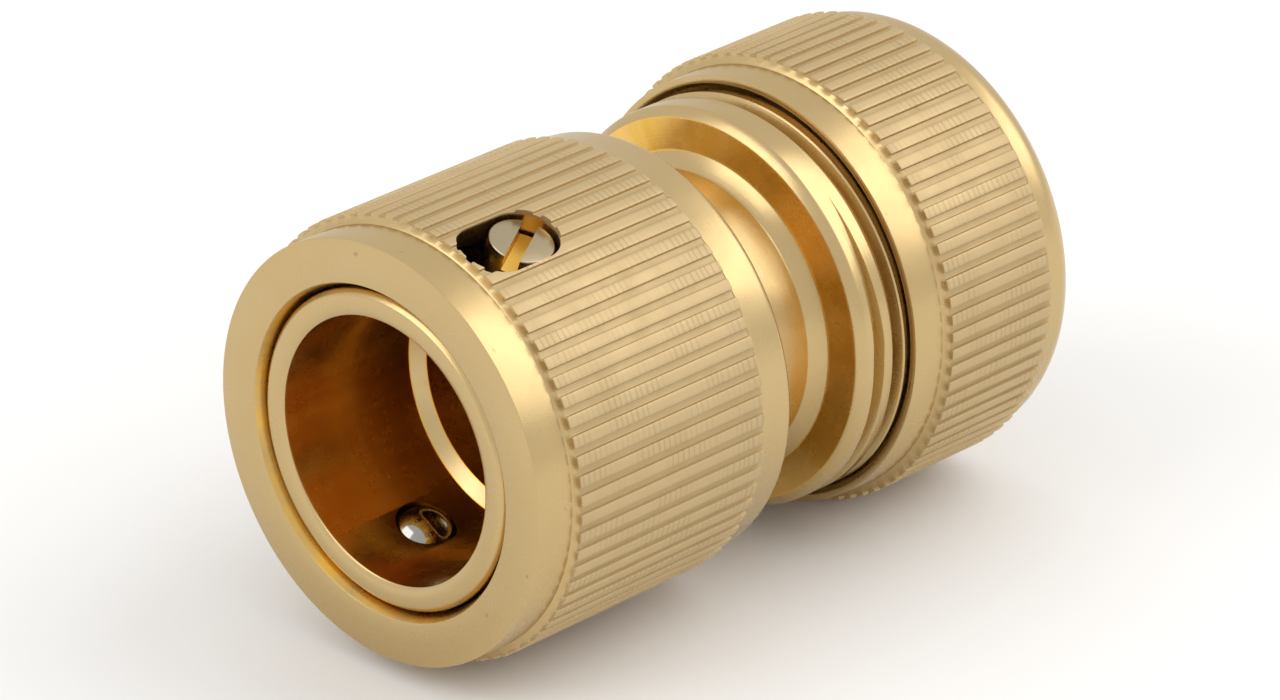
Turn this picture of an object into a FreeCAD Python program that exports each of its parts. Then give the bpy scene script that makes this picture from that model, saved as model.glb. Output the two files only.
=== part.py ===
import FreeCAD, Part
import Sketcher
import math
import os

# Quick-release hose connector, drawn along its own axis.
# The origin is on the axis, 0.6 mm inside the mouth of the plug socket.
# +Y runs from the mouth towards the hose, +Z is up, and lengths are millimetres.
# A "radius" is measured from the +Y axis, a "station" along it.

FULL_TURN = 360.0
SIZES = {
    # plug socket and nose bore
    "socket_radius": 8.8,
    "mouth_radius": 9.45,
    "mouth_station": -0.6,
    "mouth_bevel_end": -0.43,
    "mouth_corner": 0.35,
    "socket_depth": 10.35,
    "nose_start": 10.87,
    "nose_radius": 7.7,
    "nose_depth": 22.6,
    "tube_radius": 10.53,
    "edge_break": 0.2,
    # spring collar, neck and threaded end of the socket body
    "collar_front": 18.5,
    "collar_rear": 21.0,
    "collar_radius": 12.9,
    "neck_radius": 9.7,
    "neck_end": 27.5,
    "root_radius": 10.62,
    "flange_front": 28.4,
    "flange_radius": 12.88,
    "flange_bevel_end": 28.95,
    "thread_crest": 13.45,
    "thread_root": 12.7,
    "thread_pitch": 1.75,
    "thread_start": 30.075,
    "groove_root_width": 0.55,
    "groove_top_width": 1.05,
    "body_end": 37.6,
    "end_chamfer": 0.8,
    "hose_pocket_radius": 10.5,
    "hose_pocket_floor": 30.1,
    # hose tail and its sealing washer
    "tail_seat": 23.6,
    "tail_head_radius": 8.4,
    "tail_bore": 4.6,
    "tail_flare": 6.2,
    "tail_flare_depth": 1.6,
    "tail_root_radius": 5.9,
    "barb_radius": 6.9,
    "barb_start": 33.0,
    "barb_pitch": 3.1,
    "barb_land": 0.7,
    "tail_end": 46.0,
    "washer_bore": 6.6,
    "press_gap": 0.02,
    # release sleeve
    "sleeve_front": -0.9,
    "sleeve_mouth": 11.04,
    "sleeve_mouth_bevel": 1.0,
    "sleeve_face": 13.93,
    "knurl_start": 2.15,
    "knurl_end": 18.3,
    "sleeve_band": 13.9,
    "sleeve_crest": 14.6,
    "sleeve_shoulder": 14.1,
    "sleeve_rear": 21.4,
    "sleeve_round": 0.6,
    "lip_end": 0.7,
    "relief_radius": 13.3,
    "relief_end": 3.45,
    "land_radius": 12.49,
    "land_start": 6.3,
    "land_end": 8.5,
    "guide_radius": 10.64,
    "spring_seat": 10.9,
    "sleeve_bore": 13.0,
    "sleeve_ridges": 72,
    "ridge_root_share": 0.30,
    "knurl_depth": 0.22,
    "slot_front": 4.6,
    "slot_rear": 7.2,
    "slot_half_width": 2.35,
    # guide screw
    "screw_station": 7.2,
    "screw_tilt": 19.0,
    "screw_seat": 10.2,
    "screw_top": 13.95,
    "screw_head": 2.1,
    "screw_shank": 1.5,
    "screw_tip": 9.0,
    "screw_spot": 2.2,
    "driver_slot_width": 1.0,
    "driver_slot_depth": 1.1,
    "driver_slot_turn": -29.0,
    # locking balls
    "ball_station": 5.9,
    "ball_radius": 2.25,
    "ball_centre": 10.2,
    "ball_hole": 2.3,
    "ball_lip": 1.97,
    "ball_lip_top": 9.05,
    "ball_tilt": 199.0,
    "ball_count": 3,
    # spring
    "spring_wire": 0.45,
    "spring_mean": 11.75,
    "spring_turns": 4.4,
    # hose nut
    "nut_front": 32.45,
    "nut_mouth": 13.9,
    "nut_face": 14.35,
    "nut_collar_end": 34.9,
    "nut_collar": 14.42,
    "nut_knurl_start": 35.1,
    "nut_knurl_end": 44.55,
    "nut_crest": 15.16,
    "nut_shoulder": 14.75,
    "nut_round": 2.0,
    "nut_rear": 47.6,
    "nut_thread_crest": 12.82,
    "nut_thread_root": 13.6,
    "nut_groove_top_width": 1.44,
    "nut_groove_root_width": 0.94,
    "nut_thread_end": 38.6,
    "nut_relief": 13.65,
    "nut_relief_end": 41.2,
    "nut_bore": 12.45,
    "cone_start": 43.1,
    "cone_end": 46.1,
    "nut_hole": 10.2,
    "nut_ridges": 80,
    # grip ring
    "grip_front": 41.25,
    "grip_cone_start": 43.0,
    "grip_rear": 45.9,
    "grip_radius": 12.3,
    "grip_tip": 10.35,
    "grip_bore": 9.75,
    "grip_tooth": 0.45,
    "grip_tooth_pitch": 1.4,
    "grip_gap": 2.4,
}


class Size:
    """A length that knows its value and the sheet formula that it is bound to."""

    def __init__(self, value, text):
        self.value = value
        self.text = text

    def __add__(self, other):
        return Size(self.value + other.value, f"({self.text} + {other.text})")

    def __sub__(self, other):
        return Size(self.value - other.value, f"({self.text} - {other.text})")

    def times(self, factor):
        return Size(self.value * factor, f"({self.text} * {factor})")


def size(name):
    return Size(SIZES[name], f"Sizes.{name}")


ZERO = Size(0.0, "0")


def make_sheet(doc):
    sheet = doc.addObject("Spreadsheet::Sheet", "Sizes")
    for row, (name, value) in enumerate(SIZES.items(), start=1):
        sheet.set(f"A{row}", name)
        sheet.set(f"B{row}", str(value))
        sheet.setAlias(f"B{row}", name)
    doc.recompute()


def origin_plane(body, role):
    for feature in body.Origin.OriginFeatures:
        if feature.Role == role:
            return feature
    raise ValueError(role)


def new_body(doc, label):
    body = doc.addObject("PartDesign::Body", label)
    body.Label = label
    return body


def new_sketch(body, name, role="XY_Plane"):
    sketch = body.newObject("Sketcher::SketchObject", name)
    sketch.AttachmentSupport = [(origin_plane(body, role), "")]
    sketch.MapMode = "FlatFace"
    return sketch


def bind(sketch, constraint, text):
    index = sketch.addConstraint(constraint)
    sketch.setExpression(f"Constraints[{index}]", text)


def draw_outline(sketch, outline):
    """Closed outline of straight edges through (radius, station) points."""
    count = len(outline)
    for index in range(count):
        start = outline[index]
        end = outline[(index + 1) % count]
        first = FreeCAD.Vector(start[0].value, start[1].value, 0)
        second = FreeCAD.Vector(end[0].value, end[1].value, 0)
        sketch.addGeometry(Part.LineSegment(first, second), False)
    for index in range(count):
        sketch.addConstraint(Sketcher.Constraint("Coincident", index, 2, (index + 1) % count, 1))
    for index, (across, along) in enumerate(outline):
        for kind, place in (("DistanceX", across), ("DistanceY", along)):
            bind(sketch, Sketcher.Constraint(kind, -1, 1, index, 1, place.value), place.text)


def turn(body, outline, name="turned_shape"):
    """Revolve an outline about the body's own Y axis."""
    sketch = new_sketch(body, f"{name}_outline")
    draw_outline(sketch, outline)
    feature = body.newObject("PartDesign::Revolution", name)
    feature.Profile = sketch
    feature.ReferenceAxis = (sketch, ["V_Axis"])
    feature.Angle = FULL_TURN
    return feature


def tilt_sketch(sketch, tilt_text, height_text):
    """Lean a sketch about the Y axis and lift it along its own normal."""
    some_lean = FreeCAD.Rotation(FreeCAD.Vector(0, 1, 0), 1)
    sketch.AttachmentOffset = FreeCAD.Placement(FreeCAD.Vector(0, 0, 0), some_lean)
    sketch.setExpression("AttachmentOffset.Rotation.Angle", f"{tilt_text} * 1 deg")
    sketch.setExpression("AttachmentOffset.Base.x", f"{height_text} * sin({tilt_text} * 1 deg)")
    sketch.setExpression("AttachmentOffset.Base.z", f"{height_text} * cos({tilt_text} * 1 deg)")


def drill(body, name, station, radius, tilt_text, from_height):
    """Radial hole that starts at a height above the axis and runs out through the wall."""
    sketch = new_sketch(body, f"{name}_circle")
    tilt_sketch(sketch, tilt_text, from_height.text)
    middle = FreeCAD.Vector(0, station.value, 0)
    sketch.addGeometry(Part.Circle(middle, FreeCAD.Vector(0, 0, 1), radius.value), False)
    sketch.addConstraint(Sketcher.Constraint("PointOnObject", 0, 3, -2))
    bind(sketch, Sketcher.Constraint("DistanceY", -1, 1, 0, 3, station.value), station.text)
    bind(sketch, Sketcher.Constraint("Radius", 0, radius.value), radius.text)
    feature = body.newObject("PartDesign::Pocket", name)
    feature.Profile = sketch
    feature.Type = "Length"
    feature.setExpression("Length", "Sizes.socket_radius")
    feature.Reversed = True
    return feature


def round_rim(body, feature, radius, station, fillet_text, name="rounded_rim"):
    """Round the circular edge that has this radius and station."""
    for index, edge in enumerate(feature.Shape.Edges, start=1):
        centre_gap = abs(edge.CenterOfMass.y - station.value)
        rim = isinstance(edge.Curve, Part.Circle) and abs(edge.Curve.Radius - radius.value) < 0.001
        if rim and centre_gap < 0.001:
            fillet = body.newObject("PartDesign::Fillet", name)
            fillet.Base = (feature, [f"Edge{index}"])
            fillet.setExpression("Radius", fillet_text)
            return fillet
    raise ValueError(f"{body.Label} has no rim of radius {radius.value} at {station.value}")


def repeat_around(body, features, axis_sketch, axis_name, count_text, name):
    pattern = body.newObject("PartDesign::PolarPattern", name)
    pattern.Originals = features
    pattern.Axis = (axis_sketch, [axis_name])
    pattern.Angle = FULL_TURN
    pattern.setExpression("Occurrences", count_text)
    body.Tip = pattern
    return pattern


def cut_knurl(body, crest, ridges_name):
    """Straight knurl: one trapezoid groove along the axis, repeated around it."""
    pitch = 2 * math.pi / SIZES[ridges_name]
    pitch_text = f"(6.283185 / Sizes.{ridges_name})"
    root = crest - size("knurl_depth")
    half_root = Size(root.value * pitch * SIZES["ridge_root_share"] / 2,
                     f"({root.text} * {pitch_text} * Sizes.ridge_root_share / 2)")
    half_top = half_root.times(2.0)
    top = crest + size("edge_break")
    sketch = new_sketch(body, "knurl_groove_outline", "XZ_Plane")
    draw_outline(sketch, [
        (root, ZERO - half_root),
        (root, half_root),
        (top, half_top),
        (top, ZERO - half_top),
    ])
    groove = body.newObject("PartDesign::Pocket", "knurl_groove")
    groove.Profile = sketch
    groove.Type = "ThroughAll"
    groove.Midplane = True
    repeat_around(body, [groove], sketch, "N_Axis", f"Sizes.{ridges_name}", "knurl")


def cut_thread(body, outline, height):
    """Right-hand thread groove, swept along a helix about the Y axis."""
    sketch = new_sketch(body, "thread_outline")
    draw_outline(sketch, outline)
    thread = body.newObject("PartDesign::SubtractiveHelix", "thread")
    thread.Profile = sketch
    thread.ReferenceAxis = (sketch, ["V_Axis"])
    thread.Mode = "pitch-height-angle"
    thread.setExpression("Pitch", "Sizes.thread_pitch")
    thread.setExpression("Height", height.text)


def make_socket_body(doc):
    body = new_body(doc, "socket_body")
    front = size("mouth_station")
    corner = size("mouth_corner")
    chamfer = size("end_chamfer")
    turn(body, [
        (size("mouth_radius"), front),
        (size("tube_radius") - corner, front),
        (size("tube_radius"), front + corner),
        (size("tube_radius"), size("collar_front")),
        (size("collar_radius"), size("collar_front")),
        (size("collar_radius"), size("collar_rear")),
        (size("neck_radius"), size("collar_rear")),
        (size("neck_radius"), size("neck_end")),
        (size("root_radius"), size("flange_front")),
        (size("flange_radius"), size("flange_front")),
        (size("thread_crest"), size("flange_bevel_end")),
        (size("thread_crest"), size("body_end") - chamfer),
        (size("thread_crest") - chamfer, size("body_end")),
        (size("hose_pocket_radius"), size("body_end")),
        (size("hose_pocket_radius"), size("hose_pocket_floor")),
        (size("tail_head_radius"), size("hose_pocket_floor")),
        (size("tail_head_radius"), size("nose_depth")),
        (size("nose_radius"), size("nose_depth")),
        (size("nose_radius"), size("nose_start")),
        (size("socket_radius"), size("socket_depth")),
        (size("socket_radius"), size("mouth_bevel_end")),
    ])
    doc.recompute()
    inside = size("socket_radius").times(0.5)
    lip = drill(body, "ball_lip_hole", size("ball_station"), size("ball_lip"), "Sizes.ball_tilt", inside)
    hole = drill(body, "ball_hole", size("ball_station"), size("ball_hole"), "Sizes.ball_tilt",
                 size("ball_lip_top"))
    axis_sketch = body.getObject("turned_shape_outline")
    repeat_around(body, [lip, hole], axis_sketch, "V_Axis", "Sizes.ball_count", "ball_holes")
    doc.recompute()
    drill(body, "screw_hole", size("screw_station"), size("screw_shank") + size("press_gap"),
          "Sizes.screw_tilt", inside)
    drill(body, "screw_spot_face", size("screw_station"), size("screw_spot"), "Sizes.screw_tilt",
          size("screw_seat"))
    doc.recompute()
    start = size("thread_start")
    half_root = size("groove_root_width").times(0.5)
    half_top = size("groove_top_width").times(0.5)
    root = size("thread_root")
    top = size("thread_crest")
    cut_thread(body, [
        (root, start - half_root),
        (root, start + half_root),
        (top, start + half_top),
        (top + (top - root).times(0.5), start + half_top + (half_top - half_root).times(0.5)),
        (top + (top - root).times(0.5), start - half_top - (half_top - half_root).times(0.5)),
        (top, start - half_top),
    ], size("body_end") + size("thread_pitch") - start)
    return body


def make_hose_tail(doc):
    body = new_body(doc, "hose_tail")
    head = size("tail_head_radius") - size("press_gap")
    seat = size("tail_seat")
    bevel = size("edge_break")
    outline = [
        (size("tail_flare"), seat),
        (head - bevel, seat),
        (head, seat + bevel),
        (head, size("hose_pocket_floor")),
        (size("tail_root_radius"), size("hose_pocket_floor")),
    ]
    barb_count = int((SIZES["tail_end"] - SIZES["barb_start"]) / SIZES["barb_pitch"])
    for index in range(barb_count):
        front = size("barb_start") + size("barb_pitch").times(index)
        outline.append((size("tail_root_radius"), front))
        outline.append((size("barb_radius"), front))
        outline.append((size("barb_radius"), front + size("barb_land")))
        outline.append((size("tail_root_radius"), front + size("barb_pitch") - bevel))
    outline.append((size("tail_root_radius"), size("tail_end") - bevel))
    outline.append((size("tail_root_radius") - bevel, size("tail_end")))
    outline.append((size("tail_bore"), size("tail_end")))
    outline.append((size("tail_bore"), seat + size("tail_flare_depth")))
    turn(body, outline)
    return body


def make_tail_washer(doc):
    body = new_body(doc, "tail_washer")
    outer = size("tail_head_radius") - size("press_gap")
    gap = size("press_gap")
    turn(body, [
        (size("washer_bore"), size("nose_depth") + gap),
        (outer, size("nose_depth") + gap),
        (outer, size("tail_seat") - gap),
        (size("washer_bore"), size("tail_seat") - gap),
    ])
    return body


def draw_slot(sketch, front, rear, half_width):
    """Round-ended slot along the sketch's vertical axis."""
    middle = FreeCAD.Vector(0, 0, 1)
    rear_end = Part.Circle(FreeCAD.Vector(0, rear.value, 0), middle, half_width.value)
    front_end = Part.Circle(FreeCAD.Vector(0, front.value, 0), middle, half_width.value)
    left_rear = FreeCAD.Vector(-half_width.value, rear.value, 0)
    left_front = FreeCAD.Vector(-half_width.value, front.value, 0)
    right_front = FreeCAD.Vector(half_width.value, front.value, 0)
    right_rear = FreeCAD.Vector(half_width.value, rear.value, 0)
    sketch.addGeometry(Part.ArcOfCircle(rear_end, 0, math.pi), False)
    sketch.addGeometry(Part.LineSegment(left_rear, left_front), False)
    sketch.addGeometry(Part.ArcOfCircle(front_end, math.pi, 2 * math.pi), False)
    sketch.addGeometry(Part.LineSegment(right_front, right_rear), False)
    for index in range(4):
        sketch.addConstraint(Sketcher.Constraint("Tangent", index, 2, (index + 1) % 4, 1))
    sketch.addConstraint(Sketcher.Constraint("PointOnObject", 0, 3, -2))
    sketch.addConstraint(Sketcher.Constraint("PointOnObject", 2, 3, -2))
    bind(sketch, Sketcher.Constraint("DistanceY", -1, 1, 0, 3, rear.value), rear.text)
    bind(sketch, Sketcher.Constraint("DistanceY", -1, 1, 2, 3, front.value), front.text)
    bind(sketch, Sketcher.Constraint("Radius", 0, half_width.value), half_width.text)


def make_release_sleeve(doc):
    body = new_body(doc, "release_sleeve")
    bevel = size("edge_break")
    front = size("sleeve_front")
    turned = turn(body, [
        (size("guide_radius"), front + size("sleeve_mouth_bevel")),
        (size("sleeve_mouth"), front),
        (size("sleeve_face"), front),
        (size("sleeve_band"), size("knurl_start") - bevel),
        (size("sleeve_crest"), size("knurl_start")),
        (size("sleeve_crest"), size("knurl_end")),
        (size("sleeve_shoulder"), size("knurl_end") + bevel),
        (size("sleeve_shoulder"), size("sleeve_rear")),
        (size("sleeve_bore") + bevel, size("sleeve_rear")),
        (size("sleeve_bore"), size("sleeve_rear") - bevel),
        (size("sleeve_bore"), size("spring_seat")),
        (size("guide_radius"), size("spring_seat")),
        (size("guide_radius"), size("land_end")),
        (size("land_radius"), size("land_end")),
        (size("land_radius"), size("land_start")),
        (size("relief_radius"), size("relief_end")),
        (size("relief_radius"), size("lip_end")),
        (size("guide_radius"), size("lip_end")),
    ])
    doc.recompute()
    round_rim(body, turned, size("sleeve_shoulder"), size("sleeve_rear"), "Sizes.sleeve_round")
    doc.recompute()
    cut_knurl(body, size("sleeve_crest"), "sleeve_ridges")
    doc.recompute()
    sketch = new_sketch(body, "guide_slot_outline")
    tilt_sketch(sketch, "Sizes.screw_tilt", "Sizes.socket_radius")
    draw_slot(sketch, size("slot_front"), size("slot_rear"), size("slot_half_width"))
    slot = body.newObject("PartDesign::Pocket", "guide_slot")
    slot.Profile = sketch
    slot.Type = "Length"
    slot.setExpression("Length", "Sizes.socket_radius")
    slot.Reversed = True
    return body


def make_release_spring(doc):
    """Compression spring between the sleeve's guide land and the body's collar."""
    body = new_body(doc, "release_spring")
    wire = size("spring_wire")
    mean = size("spring_mean")
    start = size("spring_seat") + wire + size("press_gap")
    end = size("collar_front") - wire - size("press_gap")
    sketch = new_sketch(body, "wire_outline")
    sketch.addGeometry(Part.Circle(FreeCAD.Vector(mean.value, start.value, 0), FreeCAD.Vector(0, 0, 1),
                                   wire.value), False)
    bind(sketch, Sketcher.Constraint("DistanceX", -1, 1, 0, 3, mean.value), mean.text)
    bind(sketch, Sketcher.Constraint("DistanceY", -1, 1, 0, 3, start.value), start.text)
    bind(sketch, Sketcher.Constraint("Radius", 0, wire.value), wire.text)
    coil = body.newObject("PartDesign::AdditiveHelix", "coil")
    coil.Profile = sketch
    coil.ReferenceAxis = (sketch, ["V_Axis"])
    coil.Mode = "height-turns-angle"
    coil.setExpression("Height", (end - start).text)
    coil.setExpression("Turns", "Sizes.spring_turns")
    return body


def make_lock_ball(doc, index):
    ball = doc.addObject("Part::Sphere", f"lock_ball_{index + 1}")
    ball.Label = f"lock_ball_{index + 1}"
    tilt_text = f"((Sizes.ball_tilt + {FULL_TURN} / Sizes.ball_count * {index}) * 1 deg)"
    ball.setExpression("Radius", "Sizes.ball_radius")
    ball.setExpression("Placement.Base.x", f"Sizes.ball_centre * sin{tilt_text}")
    ball.setExpression("Placement.Base.y", "Sizes.ball_station")
    ball.setExpression("Placement.Base.z", f"Sizes.ball_centre * cos{tilt_text}")
    return ball


def make_guide_screw(doc):
    """Slotted shoulder screw, drawn with its own axis along Y and then stood on the tube."""
    body = new_body(doc, "guide_screw")
    bevel = size("edge_break")
    gap = size("press_gap")
    turn(body, [
        (ZERO, size("screw_tip")),
        (size("screw_shank") - bevel, size("screw_tip")),
        (size("screw_shank"), size("screw_tip") + bevel),
        (size("screw_shank"), size("screw_seat") + gap),
        (size("screw_head"), size("screw_seat") + gap),
        (size("screw_head"), size("screw_top") - bevel),
        (size("screw_head") - bevel, size("screw_top")),
        (ZERO, size("screw_top")),
    ])
    doc.recompute()
    sketch = new_sketch(body, "driver_slot_outline", "XZ_Plane")
    half = size("driver_slot_width").times(0.5)
    reach = size("screw_head") + bevel
    draw_outline(sketch, [
        (ZERO - half, ZERO - reach),
        (half, ZERO - reach),
        (half, reach),
        (ZERO - half, reach),
    ])
    some_turn = FreeCAD.Rotation(FreeCAD.Vector(0, 0, 1), 1)
    sketch.AttachmentOffset = FreeCAD.Placement(FreeCAD.Vector(0, 0, 0), some_turn)
    sketch.setExpression("AttachmentOffset.Rotation.Angle", "Sizes.driver_slot_turn * 1 deg")
    sketch.setExpression("AttachmentOffset.Base.z", "-Sizes.screw_top")
    slot = body.newObject("PartDesign::Pocket", "driver_slot")
    slot.Profile = sketch
    slot.Type = "Length"
    slot.setExpression("Length", "Sizes.driver_slot_depth")
    slot.Reversed = True
    lean = FreeCAD.Rotation(FreeCAD.Vector(0, 1, 0), SIZES["screw_tilt"])
    stand = FreeCAD.Rotation(FreeCAD.Vector(1, 0, 0), 90)
    body.Placement = FreeCAD.Placement(FreeCAD.Vector(0, SIZES["screw_station"], 0), lean.multiply(stand))
    return body


def make_hose_nut(doc):
    body = new_body(doc, "hose_nut")
    bevel = size("edge_break")
    front = size("nut_front")
    mouth_depth = size("nut_mouth") - size("nut_thread_crest")
    turned = turn(body, [
        (size("nut_mouth"), front),
        (size("nut_face"), front),
        (size("nut_collar"), size("nut_collar_end")),
        (size("nut_crest"), size("nut_knurl_start")),
        (size("nut_crest"), size("nut_knurl_end")),
        (size("nut_shoulder"), size("nut_knurl_end") + bevel),
        (size("nut_shoulder"), size("nut_rear")),
        (size("nut_hole") + bevel, size("nut_rear")),
        (size("nut_hole"), size("nut_rear") - bevel),
        (size("nut_hole"), size("cone_end")),
        (size("nut_bore"), size("cone_start")),
        (size("nut_bore"), size("nut_relief_end")),
        (size("nut_relief"), size("nut_relief_end")),
        (size("nut_relief"), size("nut_thread_end")),
        (size("nut_thread_crest"), size("nut_thread_end")),
        (size("nut_thread_crest"), front + mouth_depth),
    ])
    doc.recompute()
    round_rim(body, turned, size("nut_shoulder"), size("nut_rear"), "Sizes.nut_round")
    doc.recompute()
    cut_knurl(body, size("nut_crest"), "nut_ridges")
    doc.recompute()
    start = size("thread_start") + size("thread_pitch").times(0.5)
    half_top = size("nut_groove_top_width").times(0.5)
    half_root = size("nut_groove_root_width").times(0.5)
    crest = size("nut_thread_crest")
    root = size("nut_thread_root")
    cut_thread(body, [
        (root, start - half_root),
        (root, start + half_root),
        (crest, start + half_top),
        (crest - (root - crest).times(0.3), start + half_top),
        (crest - (root - crest).times(0.3), start - half_top),
        (crest, start - half_top),
    ], size("nut_thread_end") + size("thread_pitch").times(0.5) - start)
    return body


def make_grip_ring(doc):
    """Split ring with inner teeth, squeezed on the hose by the nut's cone."""
    body = new_body(doc, "grip_ring")
    outline = [
        (size("grip_bore"), size("grip_front")),
        (size("grip_radius"), size("grip_front")),
        (size("grip_radius"), size("grip_cone_start")),
        (size("grip_tip"), size("grip_rear")),
        (size("grip_bore"), size("grip_rear")),
    ]
    tooth_count = int((SIZES["grip_rear"] - SIZES["grip_front"]) / SIZES["grip_tooth_pitch"])
    for index in range(tooth_count):
        rear = size("grip_rear") - size("edge_break") - size("grip_tooth_pitch").times(index)
        outline.append((size("grip_bore"), rear))
        outline.append((size("grip_bore") - size("grip_tooth"), rear - size("grip_tooth_pitch").times(0.5)))
        outline.append((size("grip_bore"), rear - size("grip_tooth_pitch").times(0.6)))
    turn(body, outline)
    doc.recompute()
    sketch = new_sketch(body, "split_outline")
    half = size("grip_gap").times(0.5)
    bevel = size("edge_break")
    draw_outline(sketch, [
        (ZERO - half, size("grip_front") - bevel),
        (half, size("grip_front") - bevel),
        (half, size("grip_rear") + bevel),
        (ZERO - half, size("grip_rear") + bevel),
    ])
    split = body.newObject("PartDesign::Pocket", "split")
    split.Profile = sketch
    split.Type = "Length"
    split.setExpression("Length", "Sizes.grip_radius + Sizes.edge_break")
    split.Reversed = True
    return body


def check_document(doc):
    for item in doc.Objects:
        if "Invalid" in item.State or "Error" in item.State:
            raise RuntimeError(f"{item.Name} did not compute: {item.State}")


def check_cuts(part):
    """Every cut has to take metal away, so a cut on the wrong side is found here."""
    for feature in getattr(part, "Group", []):
        if feature.TypeId in ("PartDesign::Pocket", "PartDesign::SubtractiveHelix"):
            if feature.Shape.Volume > feature.BaseFeature.Shape.Volume - 0.01:
                raise RuntimeError(f"{part.Label}: {feature.Label} took nothing away")


def check_part(part):
    shape = part.Shape
    if shape.isNull() or not shape.isValid() or len(shape.Solids) != 1:
        raise RuntimeError(f"{part.Label} is not one valid solid")
    check_cuts(part)


def main():
    doc = FreeCAD.newDocument("hose_connector")
    make_sheet(doc)
    parts = [
        make_socket_body(doc),
        make_hose_tail(doc),
        make_tail_washer(doc),
        make_release_sleeve(doc),
        make_release_spring(doc),
        make_guide_screw(doc),
        make_hose_nut(doc),
        make_grip_ring(doc),
    ]
    for index in range(SIZES["ball_count"]):
        parts.append(make_lock_ball(doc, index))
    doc.recompute()
    check_document(doc)
    os.makedirs("parts", exist_ok=True)
    for part in parts:
        check_part(part)
        part.Shape.exportStep(f"parts/{part.Label}.step")
        print(part.Label, round(part.Shape.Volume, 2), part.Shape.BoundBox)


main()
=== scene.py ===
import math

import bpy
from mathutils import Matrix, Vector


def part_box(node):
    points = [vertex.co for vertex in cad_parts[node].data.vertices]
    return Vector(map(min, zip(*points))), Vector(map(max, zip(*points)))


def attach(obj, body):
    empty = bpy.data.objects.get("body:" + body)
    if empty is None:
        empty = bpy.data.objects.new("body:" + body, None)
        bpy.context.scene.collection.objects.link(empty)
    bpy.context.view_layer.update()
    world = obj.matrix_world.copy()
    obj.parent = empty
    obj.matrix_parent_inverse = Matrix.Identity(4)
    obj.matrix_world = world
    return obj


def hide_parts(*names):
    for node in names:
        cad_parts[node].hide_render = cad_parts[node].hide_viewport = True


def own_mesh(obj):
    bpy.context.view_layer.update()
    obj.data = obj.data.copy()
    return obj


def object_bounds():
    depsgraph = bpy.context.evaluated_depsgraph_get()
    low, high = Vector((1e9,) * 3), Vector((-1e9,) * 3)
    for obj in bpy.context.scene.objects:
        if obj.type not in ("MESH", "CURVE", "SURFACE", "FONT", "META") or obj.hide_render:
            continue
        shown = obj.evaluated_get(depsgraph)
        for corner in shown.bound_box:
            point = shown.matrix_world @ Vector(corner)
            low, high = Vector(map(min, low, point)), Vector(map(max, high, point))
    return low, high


bl_info = {
    "name": "Hose connector builder",
    "version": (1, 0, 0),
    "blender": (4, 5, 0),
    "location": "View3D > Sidebar > Connector",
    "description": "Builds the finished pieces of a quick-release brass hose connector round its CAD frame",
    "category": "Add Mesh",
}

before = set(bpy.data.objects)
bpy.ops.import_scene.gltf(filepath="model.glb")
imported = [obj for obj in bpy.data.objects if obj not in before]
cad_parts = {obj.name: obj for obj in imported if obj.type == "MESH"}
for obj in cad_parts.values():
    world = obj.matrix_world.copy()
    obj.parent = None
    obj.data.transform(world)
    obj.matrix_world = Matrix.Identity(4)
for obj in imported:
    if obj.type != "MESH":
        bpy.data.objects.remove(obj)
CAD_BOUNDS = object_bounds()

MM = 0.001
QUARTER_TURN = math.pi / 2
FACES_PER_RIDGE = 5


# Sizes and colours that a user would change

def length(name, description, millimetres):
    return bpy.props.FloatProperty(
        name=name, description=description, default=millimetres * MM,
        subtype="DISTANCE", unit="LENGTH", precision=5)


def rad(name, where, millimetres):
    return length(f"{name} radius", f"Radius {where}", millimetres)


def at(name, where, millimetres):
    return length(name, f"Station {where}", millimetres)


def lean(name, description, degrees):
    return bpy.props.FloatProperty(
        name=name, description=description, default=math.radians(degrees),
        subtype="ANGLE", unit="ROTATION")


def ridge_count(default):
    return bpy.props.IntProperty(name="Ridges", description="Ridges of the knurl", default=default, min=12)


def colour(name, description, red, green, blue):
    return bpy.props.FloatVectorProperty(
        name=name, description=description, default=(red, green, blue, 1.0),
        size=4, min=0.0, max=1.0, subtype="COLOR")


def group(kind, name):
    return bpy.props.PointerProperty(type=kind, name=name)


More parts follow.
